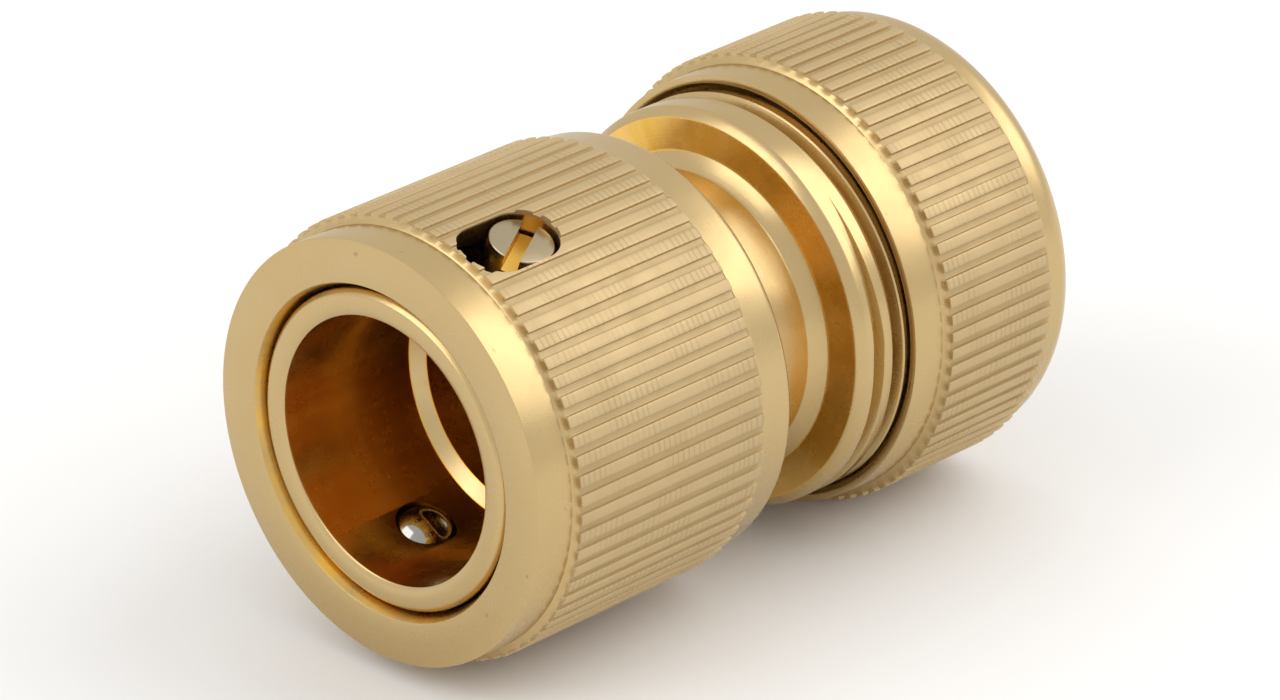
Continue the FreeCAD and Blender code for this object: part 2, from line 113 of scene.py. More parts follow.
class CONNECTOR_PG_body(bpy.types.PropertyGroup):
    mouth: length("Mouth radius", "Outer radius of the socket's lead-in chamfer", 9.45)
    mouth_bevel_end: at("Mouth bevel end", "where the lead-in chamfer ends", -0.43)
    mouth_corner: length("Mouth corner", "Chamfer on the outer corner of the mouth", 0.35)
    socket: rad("Socket", "of the wall that guides the plug", 8.8)
    socket_depth: at("Socket depth", "where the sloping step at the bottom begins", 10.35)
    nose_start: at("Nose bore start", "where the sloping step ends", 10.87)
    nose: rad("Nose bore", "of the bore that the plug's nose seals in", 7.7)
    nose_depth: at("Nose bore depth", "of the washer's seat", 22.6)
    tube: length("Tube radius", "Outer radius under the sleeve", 10.53)
    collar_front: at("Collar front", "of the spring's rear seat", 18.5)
    collar_rear: at("Collar rear", "of the collar's rear face", 21.0)
    collar: rad("Collar", "of the collar that the sleeve slides on", 12.9)
    neck: rad("Neck", "between collar and flange", 9.7)
    neck_end: at("Neck end", "where the neck starts to widen", 27.5)
    neck_root: rad("Neck root", "where the neck meets the flange", 10.62)
    flange_front: at("Flange front", "of the flange's front face", 28.4)
    flange: length("Flange radius", "Outer radius of the flange's flat face", 12.88)
    bevel_end: at("Flange bevel end", "where the bevel reaches the thread's crest", 28.95)
    crest: length("Thread crest radius", "Outer radius of the male thread", 13.45)
    root: length("Thread root radius", "Root radius of the male thread", 12.7)
    pitch: length("Thread pitch", "Advance of the nut in one turn", 1.75)
    thread_start: at("Thread start", "of the first groove's middle", 30.075)
    pocket: rad("Hose pocket", "of the pocket that takes the hose's end", 10.5)
    pocket_floor: at("Hose pocket floor", "of the pocket's floor", 30.1)
    tail_seat: rad("Tail bore", "of the bore that holds the hose tail", 8.4)


class CONNECTOR_PG_sleeve(bpy.types.PropertyGroup):
    mouth: rad("Mouth", "of the hole in the front face", 11.04)
    mouth_bevel: length("Mouth bevel", "Depth of the chamfer round the hole in the front face", 1.0)
    travel: length("Travel", "How far the sleeve slides back against its spring", 2.7)
    face: length("Face radius", "Outer radius of the flat front face", 13.93)
    band: rad("Band", "of the smooth front band", 13.9)
    knurl_start: at("Knurl start", "where the ridges begin", 2.15)
    knurl_end: at("Knurl end", "where the ridges end", 18.3)
    root: rad("Knurl root", "between the ridges", 14.38)
    shoulder: rad("Shoulder", "of the smooth rear shoulder", 14.1)
    bore: rad("Rear bore", "that slides on the body's collar", 13.0)
    guide: rad("Guide", "that slides on the body's tube", 10.64)
    land: rad("Land", "that holds the balls in", 12.49)
    relief: rad("Relief", "that lets the balls out", 13.3)
    slot_front: at("Slot front", "of the slot's front centre", 4.6)
    slot_rear: at("Slot rear", "of the slot's rear centre", 7.2)
    slot_half_width: length("Slot half width", "Half the width of the guide slot", 2.35)
    lip_end: at("Lip end", "where the front lip ends", 0.7)
    relief_end: at("Relief end", "where the slope from relief to land begins", 3.45)
    land_start: at("Land start", "where the slope reaches the land", 6.3)
    land_end: at("Land end", "of the land's rear end", 8.5)
    seat: at("Spring seat", "of the front seat of the spring", 10.9)
    ridges: ridge_count(72)


class CONNECTOR_PG_nut(bpy.types.PropertyGroup):
    mouth: length("Mouth radius", "Outer radius of the thread's lead-in", 13.9)
    face: length("Face radius", "Outer radius of the flat front rim", 14.35)
    collar: rad("Collar", "at the end of the smooth front band", 14.42)
    collar_end: at("Collar end", "where the front band ends", 34.92)
    knurl_start: at("Knurl start", "where the ridges begin", 35.1)
    knurl_end: at("Knurl end", "where the ridges end", 44.55)
    root: rad("Knurl root", "between the ridges", 14.92)
    shoulder: rad("Shoulder", "of the smooth rear shoulder", 14.75)
    round: length("Shoulder rounding", "Radius of the rounded rear edge", 2.0)
    thread_crest: length("Thread crest radius", "Inner radius of the female thread", 12.82)
    thread_root: length("Thread root radius", "Root radius of the female thread", 13.6)
    thread_end: at("Thread end", "where the thread's crest ends", 38.6)
    relief: rad("Relief", "of the groove behind the thread", 13.65)
    relief_end: at("Relief end", "where the groove behind the thread ends", 41.2)
    bore: rad("Inner bore", "between the thread and the cone", 12.45)
    cone_start: at("Cone start", "where the clamping cone begins", 43.1)
    cone_end: at("Cone end", "where the clamping cone ends", 46.1)
    hole: rad("Hose hole", "of the rear hole for the hose", 10.2)
    ridges: ridge_count(80)


class CONNECTOR_PG_small(bpy.types.PropertyGroup):
    screw_tilt: lean("Screw tilt", "Lean of the guide screw from straight up, about the axis", 19.0)
    screw_station: length("Screw station", "Where the screw stands along the axis", 7.2)
    screw_head: rad("Screw head", "of the guide screw's head", 2.1)
    screw_shank: rad("Screw shank", "of the guide screw's shank", 1.5)
    screw_seat: length("Screw seat", "Height of the head's underside above the axis", 10.22)
    screw_top: length("Screw top", "Height of the head's top above the axis", 13.95)
    screw_tip: length("Screw tip", "Height of the shank's end above the axis", 9.0)
    driver_width: length("Driver slot width", "Width of the slot in the screw's head", 1.0)
    driver_depth: length("Driver slot depth", "Depth of the slot in the screw's head", 1.1)
    driver_turn: lean("Driver slot turn", "Turn of the driver slot from the connector's axis", 29.0)
    ball_lip: rad("Ball lip", "of the hole that the ball shows through", 1.97)
    ball_hole: rad("Ball hole", "of the hole that the ball slides in", 2.3)
    ball_lip_top: length("Ball lip top", "Height of the lip above the axis", 9.05)
    spring_wire: rad("Spring wire", "of the spring's wire", 0.45)
    spring_turns: bpy.props.FloatProperty(
        name="Spring turns", description="Turns of the release spring", default=4.4, min=1.0)
    tail_bore: rad("Tail bore", "of the water way in the hose tail", 4.6)
    tail_flare: rad("Tail flare", "of the flare at the tail's front", 6.2)
    tail_flare_depth: length("Tail flare depth", "Depth of the flare at the tail's front", 1.6)
    tail_root: rad("Tail root", "of the tail between the barbs", 5.9)
    barb: rad("Barb", "of the barbs", 6.9)
    barb_start: at("Barb start", "of the first barb's step", 33.0)
    barb_pitch: length("Barb pitch", "Distance from barb to barb", 3.1)
    barb_land: length("Barb land", "Length of the flat on each barb", 0.7)
    washer_bore: length("Washer bore radius", "Inner radius of the tail's washer", 6.6)
    grip_bore: length("Grip bore radius", "Inner radius of the split grip ring", 9.75)
    grip_tooth: length("Grip tooth height", "Height of the grip ring's teeth", 0.45)
    grip_tooth_pitch: length("Grip tooth pitch", "Distance from tooth to tooth", 1.4)
    grip_tip: length("Grip tip radius", "Outer radius at the end of the ring's cone", 10.35)
    grip_cone_start: at("Grip cone start", "where the ring's cone begins", 43.0)
    grip_gap: length("Grip gap", "Width of the split", 2.4)


class CONNECTOR_PG_finish(bpy.types.PropertyGroup):
    brass: colour("Brass", "Colour of the machined brass", 0.57, 0.42, 0.205)
    brass_warm: colour("Warm brass", "Colour of the brass where it has toned", 0.53, 0.37, 0.16)
    # Painted reflection: a saturated orange that stands in for light bouncing between the brass walls of bores
    # and recesses.
    bore_painted_reflection: colour("Bore brass", "Colour of the walls inside the bore", 0.79, 0.47, 0.085)
    # Painted shade: the darker streaks in the bores and recesses.
    bore_painted_shade: colour("Dark bore brass", "Colour of the darker streaks inside the bore", 0.60, 0.305, 0.045)
    # Painted reflection: bright orange on the flange's front face, standing in for light reflected from the brass
    # round it.
    flange_painted_reflection: colour("Recess brass", "Colour of the flange's front face", 0.90, 0.58, 0.20)
    screw_brass: colour("Screw brass", "Colour of the guide screw", 0.43, 0.355, 0.23)
    steel: colour("Steel", "Colour of the balls and the spring", 0.33, 0.315, 0.295)
    rubber: colour("Rubber", "Colour of the washer", 0.012, 0.012, 0.013)
    floor: colour("Floor", "Colour of the plain floor", 0.86, 0.86, 0.86)


class CONNECTOR_PG_stage(bpy.types.PropertyGroup):
    azimuth: lean("Camera azimuth", "Turn of the camera round the upright axis", 44.0)
    elevation: lean("Camera elevation", "Angle of the camera above the horizon", 25.3)
    distance: length("Camera distance", "Distance of the camera from the connector's middle", 479.8)
    focal: bpy.props.FloatProperty(
        name="Focal length", description="Focal length of the camera in millimetres", default=212.6, min=10.0)
    right: length("Aim to the right", "How far right of the connector's middle the camera looks", -0.76)
    up: length("Aim up", "How far above the connector's middle the camera looks", -1.06)


class CONNECTOR_PG_settings(bpy.types.PropertyGroup):
    body: group(CONNECTOR_PG_body, "Socket body")
    sleeve: group(CONNECTOR_PG_sleeve, "Release sleeve")
    nut: group(CONNECTOR_PG_nut, "Hose nut")
    small: group(CONNECTOR_PG_small, "Small parts")
    finish: group(CONNECTOR_PG_finish, "Finish")
    stage: group(CONNECTOR_PG_stage, "Stage")


def settings():
    return bpy.context.scene.hose_connector


# Modelling helpers

def activate(piece):
    bpy.ops.object.select_all(action="DESELECT")
    piece.select_set(True)
    bpy.context.view_layer.objects.active = piece


def edit(piece):
    activate(piece)
    bpy.ops.object.mode_set(mode="EDIT")


def leave_edit():
    bpy.ops.object.mode_set(mode="OBJECT")


def pick(piece, kind, wanted):
    """Enters edit mode with only the wanted vertices or faces selected."""
    edit(piece)
    bpy.ops.mesh.select_mode(type=kind)
    bpy.ops.mesh.select_all(action="DESELECT")
    leave_edit()
    for item in piece.data.vertices if kind == "VERT" else piece.data.polygons:
        item.select = wanted(item)
    edit(piece)


def named_piece(name):
    piece = bpy.context.object
    piece.name = name
    piece.data.name = name
    return piece


def bake_place(piece):
    activate(piece)
    bpy.ops.object.transform_apply(location=True, rotation=True, scale=True)


def turn_outline(name, outline, segments, closed=True):
    """Lathe work: a circle is extruded from point to point of a (radius, station) outline."""
    bpy.ops.object.select_all(action="DESELECT")
    first_radius, first_station = outline[0]
    bpy.ops.mesh.primitive_circle_add(
        vertices=segments, radius=first_radius, fill_type="NOTHING",
        location=(0, first_station, 0), rotation=(QUARTER_TURN, 0, 0))
    piece = named_piece(name)
    bake_place(piece)
    edit(piece)
    bpy.ops.mesh.select_mode(type="VERT")
    bpy.ops.mesh.select_all(action="SELECT")
    if not closed:
        bpy.ops.mesh.edge_face_add()
    radius, station = outline[0]
    stops = outline[1:] + (outline[:1] if closed else [])
    for next_radius, next_station in stops:
        bpy.ops.mesh.extrude_region_move(
            TRANSFORM_OT_translate={"value": (0, next_station - station, 0)})
        ratio = next_radius / radius
        bpy.ops.transform.resize(value=(ratio, 1, ratio), center_override=(0, next_station, 0))
        radius, station = next_radius, next_station
    bpy.ops.mesh.select_all(action="SELECT")
    bpy.ops.mesh.remove_doubles(threshold=MM / 1000)
    bpy.ops.mesh.normals_make_consistent(inside=False)
    leave_edit()
    return piece


def close_ends(piece):
    """Fills the open ends of a bar, tube or coil of wire."""
    edit(piece)
    bpy.ops.mesh.select_all(action="DESELECT")
    bpy.ops.mesh.select_non_manifold(extend=False)
    bpy.ops.mesh.edge_face_add()
    bpy.ops.mesh.select_all(action="SELECT")
    bpy.ops.mesh.normals_make_consistent(inside=False)
    leave_edit()


def arc(centre_radius, centre_station, size, start, end, steps):
    """Points of a round edge, with angles measured from the radial direction towards +Y."""
    points = []
    for step in range(steps + 1):
        angle = start + (end - start) * step / steps
        points.append((centre_radius + size * math.cos(angle), centre_station + size * math.sin(angle)))
    return points


def bevel_edges(piece, width, segments=2):
    activate(piece)
    modifier = piece.modifiers.new("small_edges", "BEVEL")
    modifier.width = width
    modifier.segments = segments
    modifier.limit_method = "ANGLE"
    modifier.angle_limit = math.radians(25)
    modifier.use_clamp_overlap = False
    bpy.ops.object.modifier_apply(modifier=modifier.name)


def cut_away(piece, cutter):
    activate(piece)
    modifier = piece.modifiers.new("cut", "BOOLEAN")
    modifier.operation = "DIFFERENCE"
    modifier.solver = "EXACT"
    modifier.object = cutter
    bpy.ops.object.modifier_apply(modifier=modifier.name)
    bpy.data.objects.remove(cutter)


def smooth(piece, angle=math.radians(24)):
    activate(piece)
    bpy.ops.object.shade_smooth_by_angle(angle=angle)


def stand_on_tube(piece, tilt, station, spin=0.0):
    """Takes a piece drawn along +Y and stands it on the tube, leaning about the connector's axis."""
    upright = Matrix.Rotation(QUARTER_TURN, 4, "X") @ Matrix.Rotation(spin, 4, "Y")
    piece.matrix_world = Matrix.Translation((0, station, 0)) @ Matrix.Rotation(tilt, 4, "Y") @ upright
    bake_place(piece)


def turn_knurled(name, outline, part, crest):
    """Turns an outline, then lifts three of every five faces of its knurl into flat-topped ridges."""
    faces = part.ridges * FACES_PER_RIDGE
    step = 2 * math.pi / faces
    piece = turn_outline(name, outline, faces)

    def on_ridge(face):
        middle = face.center
        outside = math.hypot(middle.x, middle.z) > part.root - 0.05 * MM
        column = math.floor(math.atan2(middle.z, middle.x) / step) % FACES_PER_RIDGE
        return outside and part.knurl_start < middle.y < part.knurl_end and 1 <= column <= 3

    pick(piece, "FACE", on_ridge)
    bpy.ops.mesh.extrude_region_move(TRANSFORM_OT_translate={"value": (0, 0, 0)})
    ratio = crest / part.root
    bpy.ops.transform.resize(value=(ratio, 1, ratio), center_override=(0, 0, 0))
    leave_edit()
    return piece


def groove(side, middle):
    """Closed outline of a groove that is alike on both sides of its middle, from one side's points."""
    front = [(radius, middle - half) for radius, half in side]
    rear = [(radius, middle + half) for radius, half in side]
    return front[:1] + rear + front[:0:-1]


def box_cutter(name, place, size):
    bpy.ops.object.select_all(action="DESELECT")
    bpy.ops.mesh.primitive_cube_add(size=1.0, location=place, scale=size)
    cutter = named_piece(name)
    bake_place(cutter)
    return cutter


def sweep_helix(name, outline, pitch, turns, steps_per_turn):
    """Solid swept along a helix about the axis from a closed (radius, station) outline."""
    bpy.ops.object.select_all(action="DESELECT")
    bpy.ops.mesh.primitive_plane_add(size=1.0)
    piece = named_piece(name)
    edit(piece)
    bpy.ops.mesh.select_mode(type="VERT")
    bpy.ops.mesh.select_all(action="SELECT")
    bpy.ops.mesh.merge(type="CENTER")
    radius, station = outline[0]
    bpy.ops.transform.translate(value=(radius, station, 0))
    for next_radius, next_station in outline[1:]:
        bpy.ops.mesh.extrude_region_move(
            TRANSFORM_OT_translate={"value": (next_radius - radius, next_station - station, 0)})
        radius, station = next_radius, next_station
    bpy.ops.mesh.select_all(action="SELECT")
    bpy.ops.mesh.edge_face_add()
    leave_edit()
    modifier = piece.modifiers.new("helix", "SCREW")
    modifier.axis = "Y"
    modifier.screw_offset = pitch * turns
    modifier.angle = 2 * math.pi * turns
    modifier.steps = round(steps_per_turn * turns)
    modifier.render_steps = modifier.steps
    modifier.use_merge_vertices = False
    activate(piece)
    bpy.ops.object.modifier_apply(modifier=modifier.name)
    edit(piece)
    bpy.ops.mesh.select_all(action="SELECT")
    bpy.ops.mesh.remove_doubles(threshold=MM / 1000)
    leave_edit()
    close_ends(piece)
    return piece


def fade_start(cutter, station, pitch, growth, steps=10, reach=math.radians(50)):
    """Lets a groove cutter run slowly out of the metal before its first turn."""
    pick(cutter, "FACE", lambda face: len(face.vertices) > 4 and abs(face.center.y - station) < pitch / 2)
    ratio = 1 + growth / steps
    for _ in range(steps):
        bpy.ops.mesh.extrude_region_move(
            TRANSFORM_OT_translate={"value": (0, -pitch * reach / (2 * math.pi) / steps, 0)})
        bpy.ops.transform.rotate(value=reach / steps, orient_axis="Y", center_override=(0, 0, 0))
        bpy.ops.transform.resize(value=(ratio, 1, ratio), center_override=(0, 0, 0))
    leave_edit()


# Shader helpers

class Graph:
    """Adds nodes to a material or a node group, left to right."""

    def __init__(self, tree):
        self.tree = tree
        self.count = 0

    def node(self, kind, inputs=None, **values):
        made = self.tree.nodes.new(kind)
        made.location = (180 * (self.count % 8), -220 * (self.count // 8))
        self.count += 1
        for key, value in values.items():
            setattr(made, key, value)
        for key, value in (inputs or {}).items():
            if isinstance(value, bpy.types.NodeSocket):
                self.tree.links.new(value, made.inputs[key])
            else:
                made.inputs[key].default_value = value
        return made

    def math(self, operation, first, second=0.0):
        return self.node("ShaderNodeMath", {0: first, 1: second}, operation=operation).outputs[0]

    def times(self, first, *others):
        for other in others:
            first = self.math("MULTIPLY", first, other)
        return first

    def between(self, value, low, high):
        return self.times(self.math("GREATER_THAN", value, low), self.math("LESS_THAN", value, high))

    def place(self):
        return self.node("ShaderNodeTexCoord").outputs["Object"]

    def turned_place(self):
        """Radius from the connector's axis, station along it and angle about it."""
        across, along, height = self.node("ShaderNodeSeparateXYZ", {0: self.place()}).outputs
        radius = self.math("SQRT", self.math("ADD", self.math("POWER", across, 2.0),
                                             self.math("POWER", height, 2.0)))
        return radius, along, self.math("ARCTAN2", height, across)

    def noise(self, vector, scale, detail=2.0, roughness=0.5, dimensions="3D"):
        key = "W" if dimensions == "1D" else "Vector"
        made = self.node("ShaderNodeTexNoise", {key: vector, "Scale": scale, "Detail": detail,
                                                 "Roughness": roughness}, noise_dimensions=dimensions)
        return made.outputs["Fac"]

    def remap(self, value, low, high, to_low=0.0, to_high=1.0):
        made = self.node("ShaderNodeMapRange", {"Value": value, "From Min": low, "From Max": high,
                                                "To Min": to_low, "To Max": to_high})
        return made.outputs["Result"]

    def mix(self, factor, first, second):
        made = self.node("ShaderNodeMix", {0: factor}, data_type="RGBA")
        for key, value in ((6, first), (7, second)):
            if isinstance(value, bpy.types.NodeSocket):
                self.tree.links.new(value, made.inputs[key])
            else:
                made.inputs[key].default_value = value
        return made.outputs[2]


def new_group(name, inputs):
    """A node group with an input for each value: a colour where it has four parts, else a number."""
    tree = bpy.data.node_groups.new(name, "ShaderNodeTree")
    for label, default in inputs.items():
        kind = "NodeSocketColor" if isinstance(default, tuple) else "NodeSocketFloat"
        tree.interface.new_socket(label, in_out="INPUT", socket_type=kind).default_value = default
    graph = Graph(tree)
    return graph, graph.node("NodeGroupInput").outputs


def publish(graph, results):
    """Gives a node group its outputs."""
    for label, socket in results.items():
        kind = "NodeSocketColor" if socket.type == "RGBA" else "NodeSocketFloat"
        graph.tree.interface.new_socket(label, in_out="OUTPUT", socket_type=kind)
    ends = graph.node("NodeGroupOutput").inputs
    for label, socket in results.items():
        graph.tree.links.new(socket, ends[label])
    return graph.tree


def lathe_marks_group():
    """Fine rings left by the lathe tool: they follow the station on walls and the radius on faces."""
    graph, given = new_group("lathe_marks", {"Ring Pitch": 0.12})
    radius, along, _ = graph.turned_place()
    distance = graph.math("ADD", along, graph.times(radius, 0.83))
    rings = graph.math("DIVIDE", graph.times(distance, 1000.0), given["Ring Pitch"])
    fine = graph.noise(rings, 1.0, 2.0, 0.6, "1D")
    broad = graph.noise(rings, 0.17, 2.0, 0.5, "1D")
    strength = graph.remap(graph.noise(graph.place(), 90.0, 2.0), 0.35, 0.7, 0.35, 1.0)
    height = graph.times(graph.math("ADD", fine, graph.times(broad, 0.6)), strength)
    return publish(graph, {"Height": height})


def knurl_marks_group():
    """What the knurling wheel leaves, evenly spaced ticks on some ridges, and the valleys between the ridges:
    masks for painted shade on the ticks and in the valleys.
    """
    graph, given = new_group("knurl_marks", {
        "Ridges": 72.0, "Crest Radius": 0.0146, "Depth": 0.0002, "Start": 0.002, "End": 0.018,
        "Tick Pitch": 0.00047})
    radius, along, angle = graph.turned_place()
    turn = graph.times(graph.math("ADD", angle, math.pi), 1.0 / (2 * math.pi))
    ridge = graph.math("FLOOR", graph.times(turn, given["Ridges"]))
    below = graph.math("DIVIDE", graph.math("SUBTRACT", given["Crest Radius"], radius), given["Depth"])
    near = graph.math("LESS_THAN", below, 1.6)
    knurled = graph.times(graph.between(along, given["Start"], given["End"]), near)
    valley = graph.times(graph.remap(below, 0.35, 0.8), knurled)
    shifted = graph.math("ADD", graph.math("DIVIDE", along, given["Tick Pitch"]), graph.times(ridge, 0.37))
    wobble = graph.times(graph.noise(graph.times(along, 900.0), 1.0, 1.0, 0.5, "1D"), 0.5)
    wave = graph.math("FRACT", graph.math("ADD", shifted, wobble))
    gap = graph.remap(graph.math("ABSOLUTE", graph.math("SUBTRACT", wave, 0.5)), 0.3, 0.42)
    where = graph.node("ShaderNodeCombineXYZ", {0: graph.times(ridge, 0.61), 1: graph.times(along, 210.0)})
    patches = graph.remap(graph.noise(where.outputs[0], 1.0, 1.0), 0.45, 0.6)
    top = graph.times(graph.math("SUBTRACT", 1.0, valley), knurled)
    return publish(graph, {"Gaps": graph.times(gap, patches, top), "Valley": valley, "Knurled": knurled})


def toning_group():
    """Slow changes of tone, with a few dark pits, on handled brass."""
    graph, given = new_group("brass_toning", {
        "Brass": (0.8, 0.63, 0.36, 1.0), "Toned Brass": (0.74, 0.54, 0.27, 1.0), "Pit Amount": 0.5})
    place = graph.place()
    clouds = graph.remap(graph.noise(place, 110.0, 3.0, 0.5), 0.35, 0.7)
    toned = graph.mix(graph.times(clouds, 0.3), given["Brass"], given["Toned Brass"])
    pits = graph.times(graph.remap(graph.noise(place, 900.0, 1.0, 0.4), 0.785, 0.82), given["Pit Amount"])
    smears = graph.remap(graph.noise(place, 420.0, 3.0, 0.6), 0.3, 0.7)
    return publish(graph, {
        "Color": graph.mix(pits, toned, (0.16, 0.09, 0.035, 1.0)), "Roughness Mask": smears, "Pits": pits})


def recess_group():
    """Mask of recessed walls, which see little light, for the painted shade and reflection colour put on them in
    its place, with faint painted streaks along them.
    """
    graph, given = new_group("recess_painted_light_mask", {
        "Radius": 0.009, "Start": -0.0003, "End": 0.0226, "Step": 0.0106, "Half Step": 0.0002})
    radius, along, angle = graph.turned_place()
    inside = graph.math("LESS_THAN", radius, given["Radius"])
    from_step = graph.math("ABSOLUTE", graph.math("SUBTRACT", along, given["Step"]))
    off_step = graph.math("GREATER_THAN", from_step, given["Half Step"])
    mask = graph.times(inside, off_step, graph.between(along, given["Start"], given["End"]))
    where = graph.node("ShaderNodeCombineXYZ", {0: graph.times(angle, 2.6), 1: graph.times(along, 25.0)})
    streaks = graph.remap(graph.noise(where.outputs[0], 1.0, 3.0, 0.6), 0.35, 0.65)
    return publish(graph, {"Mask": mask, "Streaks": streaks})


def group_node(graph, name, maker, inputs):
    made = graph.node("ShaderNodeGroup", node_tree=bpy.data.node_groups.get(name) or maker())
    for key, value in inputs.items():
        made.inputs[key].default_value = value
    return made.outputs


def new_material(name):
    material = bpy.data.materials.new(name)
    material.use_nodes = True
    material.node_tree.nodes.clear()
    graph = Graph(material.node_tree)
    shader = graph.node("ShaderNodeBsdfPrincipled")
    graph.node("ShaderNodeOutputMaterial", {"Surface": shader.outputs[0]})
    return material, graph, shader


def surface(graph, shader, color, rough, height, metallic):
    """Joins a colour, a roughness and a relief to the shader."""
    bump = graph.node("ShaderNodeBump", {"Height": height, "Strength": 1.0, "Distance": 1.0})
    for socket, label in ((color, "Base Color"), (rough, "Roughness"), (bump.outputs["Normal"], "Normal")):
        graph.tree.links.new(socket, shader.inputs[label])
    shader.inputs["Metallic"].default_value = metallic


class Brass:
    """Machined brass: lathe rings everywhere, and more where a piece asks for it."""

    PIT_DEPTH = 0.00003
    TICK_DEPTH = 0.00001
    KNURL_BRASS = (0.60, 0.475, 0.285, 1.0)
    # Painted shade in the knurl's valleys, and on the knurling wheel's tick marks.
    VALLEY_PAINTED_SHADE = (0.26, 0.19, 0.08, 1.0)
    # Real tick marks from the knurling wheel, darkened with painted shade.
    TICK_MARK_PAINTED_SHADE = (0.26, 0.20, 0.10, 1.0)

    def __init__(self, name, roughness, ring_pitch, ring_depth, pits=0.35, base=None, toned=None):
        self.material, self.graph, self.shader = new_material(name)
        graph = self.graph
        finish = settings().finish
        toning = group_node(graph, "brass_toning", toning_group,
                            {"Brass": base or finish.brass, "Toned Brass": toned or finish.brass_warm,
                             "Pit Amount": pits})
        marks = group_node(graph, "lathe_marks", lathe_marks_group, {"Ring Pitch": ring_pitch})
        self.height = graph.math("SUBTRACT", graph.times(marks["Height"], ring_depth),
                                 graph.times(toning["Pits"], self.PIT_DEPTH))
        self.color = toning["Color"]
        self.rough = graph.remap(toning["Roughness Mask"], 0.0, 1.0, roughness * 0.85, roughness * 1.2)

    def knurl(self, ridges, crest, depth, start, end):
        graph = self.graph
        marks = group_node(graph, "knurl_marks", knurl_marks_group, {
            "Ridges": float(ridges), "Crest Radius": crest, "Depth": depth, "Start": start, "End": end})
        # Paler brass on the knurl, painted shade in its valleys, and painted shade on the tick marks, which also
        # get a shallow bump.
        for mask, share, tone in (("Knurled", 0.6, self.KNURL_BRASS), ("Valley", 0.2, self.VALLEY_PAINTED_SHADE),
                                  ("Gaps", 0.24, self.TICK_MARK_PAINTED_SHADE)):
            self.color = graph.mix(graph.times(marks[mask], share), self.color, tone)
        self.height = graph.math("SUBTRACT", self.height, graph.times(marks["Gaps"], self.TICK_DEPTH))
        self.rough = graph.math("ADD", self.rough, graph.times(marks["Knurled"], 0.34))

    def paint_recess_light(self, light, dark, limits):
        # Painted light: a shade and reflection colour, with streaks, on recessed walls.
        recess = group_node(self.graph, "recess_painted_light_mask", recess_group, limits)
        walls = self.graph.mix(recess["Streaks"], light, dark)
        self.color = self.graph.mix(recess["Mask"], self.color, walls)

    def paint_reflection_below(self, tilt, top, tone):
        """Paints a reflection colour on what lies deeper than the top of a piece that leans about the axis."""
        graph = self.graph
        upwards = (math.sin(tilt), 0.0, math.cos(tilt))
        height = graph.node("ShaderNodeVectorMath", {0: graph.place(), 1: upwards}, operation="DOT_PRODUCT")
        self.color = graph.mix(graph.math("LESS_THAN", height.outputs["Value"], top), self.color, tone)

    def finish(self):
        surface(self.graph, self.shader, self.color, self.rough, self.height, 1.0)
        return self.material


def steel_material(name, base, roughness, relief):
    material, graph, shader = new_material(name)
    place = graph.place()
    smears = graph.noise(place, 700.0, 3.0, 0.6)
    rough = graph.remap(smears, 0.3, 0.7, roughness * 0.7, roughness * 1.4)
    tone = graph.mix(graph.remap(smears, 0.3, 0.8, 0.0, 0.35), base, (0.5, 0.49, 0.47, 1.0))
    surface(graph, shader, tone, rough, graph.times(graph.noise(place, 2600.0, 2.0), relief), 1.0)
    return material


def rubber_material(name, base):
    material, graph, shader = new_material(name)
    grain = graph.noise(graph.place(), 2400.0, 3.0, 0.6)
    tone = graph.mix(graph.remap(grain, 0.4, 0.7), base, (0.035, 0.034, 0.033, 1.0))
    rough = graph.remap(grain, 0.2, 0.8, 0.55, 0.75)
    surface(graph, shader, tone, rough, graph.times(grain, 0.00002), 0.0)
    return material


def dress(piece, material, body, node):
    """Gives a piece its material and says which body it rides and which CAD node it replaces."""
    piece.data.materials.clear()
    piece.data.materials.append(material)
    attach(piece, body)
    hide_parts(node)


def finished(operator, piece):
    operator.report({"INFO"}, f"{piece.name}: {len(piece.data.polygons)} faces")
    return {"FINISHED"}


# Operators, one for each piece or group of like pieces

